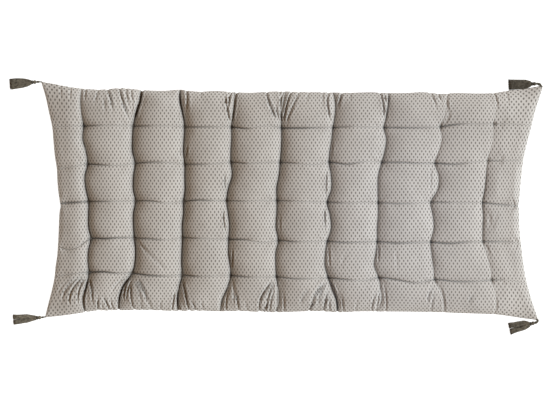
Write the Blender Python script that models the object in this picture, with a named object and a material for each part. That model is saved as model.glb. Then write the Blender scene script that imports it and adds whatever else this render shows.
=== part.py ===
"""A tufted floor mattress with a tassel on a short cord at each corner.

Metres, +Z up. The long side runs along X, and everything lies on the floor at Z = 0. The origin is on the
floor, under the middle of the whole object with its tassels. The tables are in millimetres, as a maker
would chalk the sewing lines on the cover, and MM turns them into metres.
"""

import math
import random

import bmesh
import bpy
from mathutils import Vector

MM = 0.001
GAP = 0.0003

# Heights of the mattress, from the floor
CROWN_HEIGHT = 0.074
CROWN_VARIES = 0.0025
SEAM_HEIGHT = 0.024
CORNER_HEIGHT = 0.0076

# How far each sewn line sinks below the crown, and rises above the floor underneath
FOLD_DEPTH = 0.033
CREASE_DEPTH = 0.011
TUFT_DEPTH = 0.005
UNDER_FOLD = 0.008
UNDER_CREASE = 0.003
UNDER_TUFT = 0.002
TUFT_REACH = 0.024

# The rounded sides, as a share of the outermost cells, and the thin ears at the corners
TOP_ROLL = 0.55
UNDER_ROLL = 0.30
EAR_REACH = 0.21
EAR_THINNEST = 0.30
EDGE_PINCH = 0.007

# The gathers along the two long seams
GATHER_LEAST = 0.12
GATHER_MOST = 0.38
GATHER_REACH = {"top_edge": 0.75, "bottom_edge": 0.95}
GATHER_SCALLOP = 0.010
GATHER_SEED = 5
CROWN_SEED = 8

# The roundness of a section: the first power sets how fast it falls away, the second how full it is
FOLD_POWER = 2
CREASE_POWER = 3
FULLNESS = 0.6
UNDER_POWER = 1.5

# Where the surface is divided inside each cell, as shares of the cell's width and of its length
SPLITS_ACROSS = (0.0, 0.06, 0.16, 0.30, 0.50, 0.70, 0.84, 0.94)
SPLITS_ALONG = (0.0, 0.08, 0.30, 0.70, 0.92)
GATHER_SPLITS = (0.16, 0.50, 0.84)
FLAT_ACROSS = 2 * 0.16
FLAT_ALONG = 2 * 0.30

# X in millimetres of each line that crosses the mattress, where it meets the lines of the next table:
#            top edge, row 1, row 2, row 3, row 4, row 5, bottom edge
FOLDS = {
    "left_edge": (-899, -855, -839, -830, -833, -844, -884),
    "fold_1": (-742, -736, -721, -717, -709, -716, -732),
    "fold_2": (-516, -546, -539, -538, -542, -551, -589),
    "fold_3": (-371, -349, -349, -353, -357, -359, -375),
    "fold_4": (-158, -169, -171, -186, -180, -171, -211),
    "fold_5": (30, 23, 18, 5, 11, 3, 7),
    "fold_6": (231, 222, 206, 199, 199, 203, 233),
    "fold_7": (418, 416, 409, 394, 388, 396, 386),
    "fold_8": (617, 631, 610, 596, 596, 608, 581),
    "fold_9": (840, 835, 812, 793, 795, 827, 848),
    "right_edge": (1024, 985, 951, 936, 943, 966, 1005),
}

# Y in millimetres of each line that runs along the mattress, where it meets the lines of the table above:
#            left edge, folds 1 to 9, right edge
ROWS = {
    "top_edge": (477, 450, 444, 448, 434, 434, 432, 429, 432, 434, 453),
    "row_1": (303, 307, 307, 303, 305, 303, 300, 299, 300, 311, 311),
    "row_2": (142, 161, 162, 161, 169, 166, 166, 169, 165, 173, 176),
    "row_3": (-4, 16, 20, 16, 20, 20, 16, 16, 14, 14, 3),
    "row_4": (-146, -125, -125, -125, -127, -134, -138, -138, -140, -138, -150),
    "row_5": (-277, -255, -258, -267, -267, -271, -275, -275, -281, -281, -304),
    "bottom_edge": (-426, -406, -400, -400, -400, -400, -400, -404, -402, -415, -435),
}

FOLD_LINES = list(FOLDS.values())
ROW_LINES = list(ROWS.values())
CELLS_ACROSS = len(FOLD_LINES) - 1
CELLS_ALONG = len(ROW_LINES) - 1

# Tassels: the ball of the head, the bound neck and the skirt of yarn locks
BALL_RADIUS = 0.0074
BALL_RINGS = 6
AXIS_HEIGHT = 0.0076
SOCKET_RADIUS = 0.0026
NECK_RADIUS = 0.0042
NECK_END = 0.0115
ROOT_AT = 0.0160
ROOT_HALF_WIDTH = 0.0105
ROOT_HALF_HEIGHT = 0.0046
LOCKS_WIDE = 10
LOCKS_HIGH = 3
ROOT_INSET = 0.00022
LOCK_HALF_HEIGHT = 0.00125
LOCK_FILL = 0.84
SHOULDER_AT = 0.36
SHOULDER_WIDTH = 0.90
SHOULDER_PUFF = 1.35
LAYER_WIDTHS = (1.0, 0.94, 0.82)
TIP_VARIES = 0.0025
BINDING_AT = 0.0090
BINDING_RADIUS = 0.0015
BINDING_SIDES = 16
BINDING_THREAD_SIDES = 6

# Each tassel: its ball's place in millimetres, the heading of its skirt in degrees from +X, the length from
# the ball to the cut end, the width there, and the gap where the skirt parts in two, in millimetres
TASSELS = {
    "top_left": dict(ball=(-925.6, 476.5), heading=184.0, length=98.0, width=45.5, parting=0.0, seed=1),
    "bottom_left": dict(ball=(-907.0, -429.7), heading=184.7, length=103.5, width=37.5, parting=3.0, seed=2),
    "top_right": dict(ball=(997.4, 468.1), heading=181.8, length=100.0, width=41.0, parting=0.0, seed=3),
    "bottom_right": dict(ball=(992.0, -449.7), heading=193.0, length=94.0, width=39.0, parting=4.0, seed=4),
}

# The short cords: points from the corner to the ball in millimetres, with the cord's radius at each
CORDS = {
    "top_left": ((-899.5, 477.2, 2.1), (-907.0, 477.6, 2.1), (-912.5, 477.4, 3.9), (-918.1, 477.0, 2.4)),
    "bottom_left": ((-884.5, -426.2, 2.1), (-890.0, -427.8, 2.1), (-895, -428.7, 3.4), (-899.5, -429.1, 2.4)),
    "top_right": (
        (1024.2, 453.5, 2.1), (1023.2, 460.0, 2.4), (1017.0, 466.2, 4.6), (1010.5, 468.4, 2.4),
        (1004.9, 468.3, 2.4),
    ),
    "bottom_right": (
        (1005.3, -435.4, 2.1), (1009.6, -440.0, 2.3), (1008.2, -446.0, 2.3), (1003.6, -447.6, 3.2),
        (999.3, -448.0, 2.4),
    ),
}
CORD_STEPS = 3
CORD_BEVEL_LEVEL = 2

CLOTH_COLOUR = (0.53, 0.50, 0.45)
YARN_COLOUR = (0.11, 0.10, 0.075)
BINDING_COLOUR = (0.07, 0.065, 0.05)


def clear_scene():
    for old in list(bpy.data.objects):
        bpy.data.objects.remove(old, do_unlink=True)


def make_material(name, colour, roughness):
    material = bpy.data.materials.new(name)
    material.use_nodes = True
    shader = material.node_tree.nodes["Principled BSDF"]
    shader.inputs["Base Color"].default_value = (*colour, 1.0)
    shader.inputs["Roughness"].default_value = roughness
    shader.inputs["Metallic"].default_value = 0.0
    return material


def add_object(name, mesh, material, parent):
    item = bpy.data.objects.new(name, mesh)
    item.data.materials.append(material)
    item.parent = parent
    bpy.context.collection.objects.link(item)
    return item


def smooth_step(share):
    held = min(max(share, 0.0), 1.0)
    return held * held * (3.0 - 2.0 * held)


def smooth_curve(values, place):
    """The value at place on a smooth curve through evenly spaced values, where 0 is the first of them."""
    cell = min(int(place), len(values) - 2)
    part = place - cell
    here, after = values[cell], values[cell + 1]
    before = values[cell - 1] if cell > 0 else 2 * here - after
    beyond = values[cell + 2] if cell + 2 < len(values) else 2 * after - here
    lean_in = (after - before) / 2
    lean_out = (beyond - here) / 2
    rise = after - here
    curve = (3 * rise - 2 * lean_in - lean_out) * part**2 + (lean_in + lean_out - 2 * rise) * part**3
    return here + lean_in * part + curve


def between(lines, place, along):
    """Reads the two neighbouring lines at along and mixes them by where place lies between them."""
    cell = min(int(place), len(lines) - 2)
    part = place - cell
    return (1 - part) * smooth_curve(lines[cell], along) + part * smooth_curve(lines[cell + 1], along)


def divisions(cells, splits):
    return [cell + split for cell in range(cells) for split in splits] + [float(cells)]


def inside(place, cells):
    """The cell that place lies in, and how far across it, from 0 to 1."""
    cell = min(int(place), cells - 1)
    return cell, place - cell


def from_line(place, cells):
    """The way to the nearest sewn line, 0 on it and 1 mid-cell. The outer edges don't count."""
    cell, part = inside(place, cells)
    ways = [1.0]
    if cell > 0:
        ways.append(2 * part)
    if cell < cells - 1:
        ways.append(2 * (1 - part))
    return min(ways)


def from_edge(place, cells):
    """The way to the nearer outer edge, in cells."""
    return min(place, cells - place)


def rounded(way, roll):
    """A quarter circle that starts upright at the edge and is level once way passes roll."""
    left = 1.0 - min(way / roll, 1.0)
    return math.sqrt(1.0 - left * left)


def fold_shape(way):
    return 1.0 - (1.0 - (1.0 - way) ** FOLD_POWER) ** FULLNESS


def crease_shape(way):
    return 1.0 - (1.0 - (1.0 - way) ** CREASE_POWER) ** FULLNESS


def under_shape(way, flat):
    return max(0.0, 1.0 - way / flat) ** UNDER_POWER


class Gathers:
    """How deep each gather is along the two long seams, by edge, cell and split."""

    def __init__(self, seed):
        draw = random.Random(seed)
        self.depth = {
            (edge, cell, split): draw.uniform(GATHER_LEAST, GATHER_MOST)
            for edge in GATHER_REACH
            for cell in range(CELLS_ACROSS)
            for split in GATHER_SPLITS
        }

    def at(self, across, along):
        """The share of the height that a gather takes away here."""
        edge = "top_edge" if along < CELLS_ALONG / 2 else "bottom_edge"
        cell, part = inside(across, CELLS_ACROSS)
        split = min(GATHER_SPLITS, key=lambda each: abs(each - part))
        if abs(split - part) > 1e-6:
            return 0.0
        fade = 1.0 - from_edge(along, CELLS_ALONG) / GATHER_REACH[edge]
        return self.depth[edge, cell, split] * max(0.0, fade)


def plan_place(across, along, gathers):
    """Where a point of the sewing grid lies in plan. The seams are drawn in at each crease and gather."""
    x = between(FOLD_LINES, across, along) * MM
    y = between(ROW_LINES, along, across) * MM
    pinch = EDGE_PINCH * crease_shape(from_line(along, CELLS_ALONG)) ** 2
    x += pinch * (max(0.0, 1 - across) - max(0.0, across - CELLS_ACROSS + 1))
    scallop = GATHER_SCALLOP * gathers.at(across, along)
    y += scallop * (-1 if along < CELLS_ALONG / 2 else 1)
    return x, y


def corner_places():
    ends = [(0, 0), (0, -1), (-1, 0), (-1, -1)]
    return [Vector((FOLD_LINES[side][end], ROW_LINES[end][side])) * MM for side, end in ends]


def surface_heights(across, along, x, y, crown, gathers, corners):
    """The heights of the underside and of the top at one point of the sewing grid."""
    to_fold = from_line(across, CELLS_ACROSS)
    to_crease = from_line(along, CELLS_ALONG)
    near_tuft = tuft_nearness(across, along, x, y)
    corner_way = smooth_step(min((Vector((x, y)) - c).length for c in corners) / EAR_REACH)
    seam = CORNER_HEIGHT + (SEAM_HEIGHT - CORNER_HEIGHT) * corner_way

    top = crown - FOLD_DEPTH * fold_shape(to_fold) - CREASE_DEPTH * crease_shape(to_crease)
    top -= TUFT_DEPTH * near_tuft
    edge_across = from_edge(across, CELLS_ACROSS)
    edge_along = from_edge(along, CELLS_ALONG)
    full = rounded(edge_across, TOP_ROLL) * rounded(edge_along, TOP_ROLL)
    full *= EAR_THINNEST + (1 - EAR_THINNEST) * corner_way
    full *= 1.0 - gathers.at(across, along)

    under = UNDER_FOLD * under_shape(to_fold, FLAT_ACROSS) + UNDER_CREASE * under_shape(to_crease, FLAT_ALONG)
    under += UNDER_TUFT * near_tuft
    roll = rounded(edge_across, UNDER_ROLL) * rounded(edge_along, UNDER_ROLL)
    return seam + (under - seam) * roll, seam + (top - seam) * full


def tuft_nearness(across, along, x, y):
    """1 at a tuft, fading to 0 over TUFT_REACH."""
    fold = min(max(round(across), 1), CELLS_ACROSS - 1)
    row = min(max(round(along), 1), CELLS_ALONG - 1)
    tuft_x = FOLD_LINES[fold][row] * MM
    tuft_y = ROW_LINES[row][fold] * MM
    return max(0.0, 1.0 - math.hypot(x - tuft_x, y - tuft_y) / TUFT_REACH)


def crown_heights(seed):
    """A slightly different fullness for each stuffed cell."""
    draw = random.Random(seed)
    return {
        (across, along): CROWN_HEIGHT - draw.uniform(0.0, CROWN_VARIES)
        for across in range(CELLS_ACROSS)
        for along in range(CELLS_ALONG)
    }


def make_mattress(material, parent):
    """One filled solid: the upper and lower skins share the points of the seam all round."""
    gathers = Gathers(GATHER_SEED)
    crowns = crown_heights(CROWN_SEED)
    corners = corner_places()
    steps_across = divisions(CELLS_ACROSS, SPLITS_ACROSS)
    steps_along = divisions(CELLS_ALONG, SPLITS_ALONG)
    last_across, last_along = len(steps_across) - 1, len(steps_along) - 1
    built = bmesh.new()
    tops, unders = {}, {}
    for i, across in enumerate(steps_across):
        for j, along in enumerate(steps_along):
            x, y = plan_place(across, along, gathers)
            crown = crowns[inside(across, CELLS_ACROSS)[0], inside(along, CELLS_ALONG)[0]]
            low, high = surface_heights(across, along, x, y, crown, gathers, corners)
            tops[i, j] = built.verts.new((x, y, high))
            on_seam = i in (0, last_across) or j in (0, last_along)
            unders[i, j] = tops[i, j] if on_seam else built.verts.new((x, y, low))
    for i in range(last_across):
        for j in range(last_along):
            ring = ((i, j), (i, j + 1), (i + 1, j + 1), (i + 1, j))
            built.faces.new([tops[at] for at in ring])
            built.faces.new([unders[at] for at in reversed(ring)])
    mesh = bpy.data.meshes.new("mattress")
    built.to_mesh(mesh)
    built.free()
    mesh.shade_smooth()
    return add_object("mattress", mesh, material, parent)


def root_outline():
    """The corner points of the lock roots round the neck's end, in order, as steps across and up."""
    wide, high = LOCKS_WIDE, LOCKS_HIGH
    low_side = [(step, 0) for step in range(wide)]
    right_side = [(wide, step) for step in range(high)]
    high_side = [(wide - step, high) for step in range(wide)]
    left_side = [(0, high - step) for step in range(high)]
    return low_side + right_side + high_side + left_side


def root_point(step_across, step_up):
    side = (2 * step_across / LOCKS_WIDE - 1) * ROOT_HALF_WIDTH
    height = (2 * step_up / LOCKS_HIGH - 1) * ROOT_HALF_HEIGHT
    return Vector((ROOT_AT, side, height))


def head_profile():
    """Stations along the tassel's axis and the radius at each: the ball and then the neck."""
    start = math.acos(SOCKET_RADIUS / BALL_RADIUS)
    end = math.acos(NECK_RADIUS / BALL_RADIUS)
    angles = [-start + (start + end) * step / BALL_RINGS for step in range(BALL_RINGS + 1)]
    ball = [(BALL_RADIUS * math.sin(angle), BALL_RADIUS * math.cos(angle)) for angle in angles]
    return ball + [(NECK_END, NECK_RADIUS)]


def make_head(built):
    """The ball and the neck, closed by a grid of faces that the locks grow from. Returns those faces."""
    outline = root_outline()
    count = len(outline)
    first_turn = -math.pi / 2 - math.pi * LOCKS_WIDE / count
    rings = []
    for along, radius in head_profile():
        turns = [first_turn + 2 * math.pi * step / count for step in range(count)]
        points = [(along, radius * math.cos(turn), radius * math.sin(turn)) for turn in turns]
        rings.append([built.verts.new(point) for point in points])
    grid = {
        (across, up): built.verts.new(root_point(across, up))
        for across in range(LOCKS_WIDE + 1)
        for up in range(LOCKS_HIGH + 1)
    }
    rings.append([grid[at] for at in outline])
    built.faces.new(rings[0])
    for near, far in zip(rings, rings[1:]):
        for step in range(count):
            after = (step + 1) % count
            built.faces.new((near[step], far[step], far[after], near[after]))
    return {
        (across, up): built.faces.new(
            [grid[across, up], grid[across, up + 1], grid[across + 1, up + 1], grid[across + 1, up]]
        )
        for across in range(LOCKS_WIDE)
        for up in range(LOCKS_HIGH)
    }


def lock_section(lock, share, size, puff):
    """The middle and the half sizes of one lock, share of the way along the skirt's width."""
    across, up = lock
    width = size["width"] * MM * LAYER_WIDTHS[up] * share
    pitch = width / LOCKS_WIDE
    side = (across + 0.5) * pitch - width / 2
    parting = size["parting"] * MM / 2 * (1 if side > 0 else -1) * (share**4)
    half_height = LOCK_HALF_HEIGHT * puff
    height = half_height + up * (2 * half_height + GAP) - AXIS_HEIGHT
    return side + parting, height, pitch * LOCK_FILL / 2, half_height


def grow_locks(built, roots, size):
    """Draws each root face out to the shoulder, where the locks reach the floor, and to the cut end."""
    draw = random.Random(size["seed"])
    bmesh.ops.inset_individual(built, faces=list(roots.values()), thickness=ROOT_INSET)
    skirt = size["length"] * MM - ROOT_AT
    for lock, root in roots.items():
        tip_at = ROOT_AT + skirt - draw.uniform(0.0, TIP_VARIES)
        shoulder_at = ROOT_AT + skirt * SHOULDER_AT
        for along, share, puff in ((shoulder_at, SHOULDER_WIDTH, SHOULDER_PUFF), (tip_at, 1.0, 1.0)):
            root = bmesh.ops.extrude_discrete_faces(built, faces=[root])["faces"][0]
            middle = root.calc_center_median()
            side, height, half_width, half_height = lock_section(lock, share, size, puff)
            for vert in root.verts:
                to_side = math.copysign(half_width, vert.co.y - middle.y)
                to_top = math.copysign(half_height, vert.co.z - middle.z)
                vert.co = (along, side + to_side, height + to_top)


def make_tassel(corner, size, material, parent):
    """The head and the skirt as one solid: the locks stand apart and are fused at the neck."""
    built = bmesh.new()
    roots = make_head(built)
    grow_locks(built, roots, size)
    bmesh.ops.recalc_face_normals(built, faces=built.faces)
    mesh = bpy.data.meshes.new("tassel_" + corner)
    built.to_mesh(mesh)
    built.free()
    tassel = add_object("tassel_" + corner, mesh, material, parent)
    place_on_axis(tassel, size)
    return tassel


def place_on_axis(item, size):
    item.location = (size["ball"][0] * MM, size["ball"][1] * MM, AXIS_HEIGHT)
    item.rotation_euler = (0.0, 0.0, math.radians(size["heading"]))


def make_binding(corner, size, material, parent):
    """The turns of thread that bind the neck, as one ring just clear of it."""
    turn_radius = NECK_RADIUS + GAP + BINDING_RADIUS
    built = bmesh.new()
    loops = []
    for step in range(BINDING_SIDES):
        turn = 2 * math.pi * step / BINDING_SIDES
        loop = []
        for part in range(BINDING_THREAD_SIDES):
            angle = 2 * math.pi * part / BINDING_THREAD_SIDES
            radius = turn_radius + BINDING_RADIUS * math.cos(angle)
            along = BINDING_AT + BINDING_RADIUS * math.sin(angle)
            loop.append(built.verts.new((along, radius * math.cos(turn), radius * math.sin(turn))))
        loops.append(loop)
    for step, loop in enumerate(loops):
        beside = loops[(step + 1) % BINDING_SIDES]
        for part in range(BINDING_THREAD_SIDES):
            after = (part + 1) % BINDING_THREAD_SIDES
            built.faces.new((loop[part], loop[after], beside[after], beside[part]))
    bmesh.ops.recalc_face_normals(built, faces=built.faces)
    mesh = bpy.data.meshes.new("binding_" + corner)
    built.to_mesh(mesh)
    built.free()
    mesh.shade_smooth()
    binding = add_object("binding_" + corner, mesh, material, parent)
    place_on_axis(binding, size)
    return binding


def make_cord(corner, points, material, parent):
    """The short cord from the corner seam to the tassel's ball, thicker where it is knotted."""
    curve = bpy.data.curves.new("cord_" + corner, "CURVE")
    curve.dimensions = "3D"
    curve.bevel_depth = MM
    curve.bevel_resolution = CORD_BEVEL_LEVEL
    curve.use_fill_caps = True
    count = (len(points) - 1) * CORD_STEPS + 1
    spline = curve.splines.new("POLY")
    spline.points.add(count - 1)
    for step, point in enumerate(spline.points):
        x, y, radius = (smooth_curve([p[k] for p in points], step / CORD_STEPS) for k in range(3))
        point.co = (x * MM, y * MM, AXIS_HEIGHT, 1.0)
        point.radius = radius
    return add_object("cord_" + corner, curve, material, parent)


def main():
    clear_scene()
    cloth = make_material("printed_cotton", CLOTH_COLOUR, 0.9)
    yarn = make_material("tassel_yarn", YARN_COLOUR, 0.85)
    cord = make_material("tassel_cord", YARN_COLOUR, 0.85)
    thread = make_material("binding_thread", BINDING_COLOUR, 0.8)
    whole = bpy.data.objects.new("floor_mattress", None)
    bpy.context.collection.objects.link(whole)
    make_mattress(cloth, whole)
    for corner, size in TASSELS.items():
        make_tassel(corner, size, yarn, whole)
        make_binding(corner, size, thread, whole)
        make_cord(corner, CORDS[corner], cord, whole)


main()
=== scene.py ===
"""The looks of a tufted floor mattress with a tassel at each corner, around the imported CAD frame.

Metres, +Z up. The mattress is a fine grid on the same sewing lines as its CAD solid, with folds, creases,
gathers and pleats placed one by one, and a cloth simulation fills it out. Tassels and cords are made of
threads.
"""

import math
import random

import bpy
import numpy as np
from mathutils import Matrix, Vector


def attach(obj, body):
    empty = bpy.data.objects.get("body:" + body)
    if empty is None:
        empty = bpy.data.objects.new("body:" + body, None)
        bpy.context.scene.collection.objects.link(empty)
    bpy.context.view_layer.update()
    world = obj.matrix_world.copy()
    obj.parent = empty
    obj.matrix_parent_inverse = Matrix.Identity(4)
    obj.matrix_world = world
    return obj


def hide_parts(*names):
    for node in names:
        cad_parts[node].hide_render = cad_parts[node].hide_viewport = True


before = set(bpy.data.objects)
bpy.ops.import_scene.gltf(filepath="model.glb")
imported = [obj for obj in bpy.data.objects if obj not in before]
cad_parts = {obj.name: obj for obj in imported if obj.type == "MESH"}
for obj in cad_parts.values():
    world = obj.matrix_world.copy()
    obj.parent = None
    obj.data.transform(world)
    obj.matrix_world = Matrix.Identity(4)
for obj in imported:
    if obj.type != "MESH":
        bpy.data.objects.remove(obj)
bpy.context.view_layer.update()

MM = 0.001

# The camera looks straight down, and one pixel of the photograph covers PIXEL at the seam's height
PHOTO_PIXELS_WIDE = 550
PIXEL = 0.00384
CAMERA_HEIGHT = 7.0
SENSOR_WIDTH = 36.0
VIEW_CENTRE = (-0.001, -0.0004)

# Heights from the floor, and the rounding at the outer seam and at the four flat ears
CROWN_HEIGHT = 0.0725
SEAM_HEIGHT = 0.024
CORNER_HEIGHT = 0.0076
EAR_REACH = 0.26
EAR_THINNEST = 0.30
TOP_ROLL = 0.50
UNDER_ROLL = 0.28
END_ROLL = 0.09
END_ROUNDNESS = 0.42
END_SLOPE = 0.92
RIGHT_END_SLOPE = 1.45

# The section of a stuffed cell: a broad crown that falls away towards its sewn lines, more on the right of a
# fold than on the left, with a narrow fold and thin creases. Deep in a fold, crease or tuft the cloth's
# colour is darkened as painted shade, by up to the dark share set below.
FOLD_DEPTH = 0.055
FOLD_FALL_LEFT = 0.0135
FOLD_FALL_RIGHT = 0.033
FOLD_SHOULDER = 0.009
FOLD_SHOULDER_REACH = 0.016
NARROW_FOLD_REACH = 0.0050
PAINTED_SHADE_FOLD_REACH = 0.0030
PAINTED_SHADE_CREASE = 0.55
PAINTED_SHADE_TUFT_REACH = 0.0065
PAINTED_SHADE_DARK = 0.40
PAINTED_SHADE_FULLNESS = 0.5
FALL_LEAST = 0.2
BROAD_CREASE = 0.005
BROAD_LEAST = 0.3
NARROW_CREASE = 0.023
NARROW_CREASE_REACH = 0.0018
CREASE_LEAST = 0.20
CREASE_KEPT = 0.2
CREASE_FADE = 1.2
CREASE_RISE = 0.45
TUFT_DEPTH = 0.009
TUFT_REACH = 0.0085
TUFT_PULL = 0.005
TUFT_PULL_REACH = 0.020
TUFT_GRIP = 0.016
TUFT_LEAST = 0.1
GRIP_MOST = 0.8

# The underside's folds and creases: how high they rise, their share of a cell, and the power of their slope
UNDER_FOLD = 0.009
UNDER_FOLD_SHARE = 0.16
UNDER_CREASE = 0.004
UNDER_CREASE_SHARE = 0.26
UNDER_POWER = 1.7

# The upper skin's lowest height over the underside, and how much lower it may sag beside the seam
SKIN_GAP = 0.002
SEAM_SAG = 0.008
SAG_FULLNESS = 0.4

# X in millimetres of each line across the mattress, where it meets the top edge, rows 1 to 5 and the bottom
# edge, with two places between each and the next
LINE_PLACES = 3
FOLDS = {
    "left_edge": (-901, -883, -870, -857, -852, -847, -839, -837, -833, -827, -830, -832, -835, -838, -844,
        -848, -859, -873, -886),
    "fold_1": (-744, -747, -743, -736, -739, -726, -721, -731, -727, -717, -717, -717, -709, -717, -719,
        -716, -724, -739, -731),
    "fold_2": (-515, -520, -535, -546, -549, -549, -539, -545, -546, -538, -545, -545, -542, -537, -539,
        -551, -582, -597, -598),
    "fold_3": (-365, -366, -354, -349, -351, -353, -348, -348, -347, -353, -353, -358, -357, -359, -360,
        -359, -367, -375, -376),
    "fold_4": (-156, -158, -163, -169, -168, -171, -171, -166, -180, -187, -181, -176, -180, -181, -175,
        -172, -184, -204, -211),
    "fold_5": (39, 30, 23, 23, 24, 22, 18, 14, 5, 6, 5, 2, 11, 1, 1, 4, 12, 13, 7),
    "fold_6": (223, 230, 228, 221, 216, 209, 206, 214, 215, 199, 210, 214, 199, 191, 190, 203, 217, 236,
        240),
    "fold_7": (435, 434, 426, 416, 425, 420, 408, 394, 393, 394, 394, 390, 390, 384, 378, 396, 403, 405,
        388),
    "fold_8": (635, 646, 647, 631, 636, 625, 611, 626, 622, 596, 604, 607, 595, 599, 605, 609, 629, 641,
        645),
    "fold_9": (840, 841, 838, 835, 830, 823, 812, 808, 803, 794, 797, 795, 795, 809, 822, 828, 838, 846,
        850),
    "right_edge": (1026, 1012, 998, 986, 974, 962, 953, 946, 940, 936, 937, 939, 944, 950, 957, 968, 981,
        994, 1007),
}

# Y in millimetres of each line along the mattress, where it meets the left edge, folds 1 to 9 and the right
# edge, with two places between each and the next
ROWS = {
    "top_edge": (478, 469, 459, 451, 447, 453, 446, 443, 443, 447, 439, 442, 437, 435, 439, 440, 438, 437,
        436, 435, 437, 434, 434, 437, 431, 434, 432, 434, 444, 449, 455),
    "row_1": (303, 303, 305, 306, 307, 306, 306, 305, 305, 303, 301, 302, 302, 295, 305, 299, 297, 298, 300,
        302, 300, 300, 298, 298, 303, 312, 313, 313, 313, 311, 310),
    "row_2": (142, 146, 152, 160, 156, 154, 163, 167, 165, 160, 159, 161, 167, 162, 165, 167, 162, 157, 167,
        159, 169, 167, 166, 163, 163, 159, 166, 172, 172, 173, 175),
    "row_3": (9, 12, 14, 17, 17, 18, 19, 19, 10, 17, 22, 20, 20, 18, 20, 20, 18, 15, 14, 11, 13, 12, 9, 10,
        14, 13, 12, 12, 7, 3, 0),
    "row_4": (-156, -167, -156, -126, -125, -122, -123, -126, -130, -123, -124, -126, -128, -129, -140,
        -133, -137, -136, -136, -140, -138, -137, -142, -140, -139, -143, -138, -137, -137, -138, -145),
    "row_5": (-273, -264, -258, -255, -252, -257, -258, -265, -268, -266, -269, -268, -267, -271, -272,
        -272, -278, -278, -276, -281, -285, -275, -283, -294, -282, -288, -288, -284, -284, -288, -298),
    "bottom_edge": (-429, -424, -417, -409, -402, -402, -401, -400, -401, -404, -403, -403, -405, -404,
        -407, -409, -406, -404, -409, -407, -405, -406, -406, -407, -409, -412, -414, -417, -424, -432,
        -438),
}

# How deep each fold is in the six strips between the edges and the rows, as a share of the deepest
FOLD_STRENGTHS = {
    "fold_1": (0.45, 0.75, 0.85, 0.90, 0.85, 0.55),
    "fold_2": (0.90, 0.95, 1.00, 1.00, 1.00, 0.85),
    "fold_3": (0.95, 0.90, 1.00, 1.00, 1.00, 0.90),
    "fold_4": (0.60, 0.80, 0.90, 0.90, 0.80, 0.80),
    "fold_5": (0.45, 0.90, 0.90, 0.90, 0.75, 0.70),
    "fold_6": (0.70, 0.75, 0.80, 0.85, 0.65, 0.90),
    "fold_7": (0.60, 0.70, 0.75, 0.80, 0.60, 0.40),
    "fold_8": (0.06, 0.30, 0.60, 0.65, 0.55, 0.05),
    "fold_9": (0.00, 0.02, 0.60, 0.70, 0.20, 0.00),
}

# How far the stuffing falls away towards each fold, as a share of the first
FOLD_FALLS = (1.0, 1.0, 1.0, 0.96, 0.92, 0.82, 0.70, 0.54, 0.42)

# Each row's crease in the ten cells that it crosses: its strength from the left, the share of the cell that
# it reaches across, and its strength on the way to the right
CREASES = {
    "row_1": (
        (0.0, 0.1, 0.2), (0.6, 0.45, 0.1), (0.7, 0.40, 0.1), (0.7, 0.80, 0.3), (0.9, 0.40, 0.4),
        (1.0, 0.80, 0.2), (0.6, 0.40, 0.2), (0.7, 0.90, 0.3), (0.8, 0.50, 0.1), (0.4, 0.15, 0.0),
    ),
    "row_2": (
        (0.2, 1.00, 0.4), (0.9, 0.50, 0.2), (0.8, 0.60, 0.1), (0.7, 0.55, 0.2), (0.7, 0.35, 0.2),
        (0.6, 0.40, 0.2), (0.9, 0.60, 0.3), (0.7, 1.00, 0.5), (0.9, 0.60, 0.2), (0.5, 0.50, 0.0),
    ),
    "row_3": (
        (1.4, 1.00, 1.4), (0.8, 0.50, 0.2), (0.8, 0.60, 0.2), (0.9, 0.75, 0.6), (0.5, 0.45, 0.3),
        (0.6, 0.35, 0.1), (0.6, 0.35, 0.1), (0.6, 0.70, 0.1), (0.6, 0.45, 0.2), (0.9, 1.00, 0.9),
    ),
    "row_4": (
        (0.3, 1.00, 0.7), (1.2, 0.95, 0.6), (0.7, 0.65, 0.2), (0.7, 0.40, 0.2), (0.9, 0.45, 0.3),
        (0.8, 0.45, 0.2), (0.7, 0.90, 0.4), (0.8, 0.90, 0.4), (1.0, 0.80, 0.4), (0.6, 1.00, 0.4),
    ),
    "row_5": (
        (0.3, 1.00, 0.5), (1.4, 0.70, 0.4), (1.0, 0.80, 0.4), (0.9, 0.40, 0.2), (0.8, 0.45, 0.2),
        (0.6, 0.80, 0.4), (0.8, 0.50, 0.5), (0.8, 0.80, 0.5), (0.7, 0.80, 0.5), (0.5, 0.40, 0.2),
    ),
}
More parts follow.
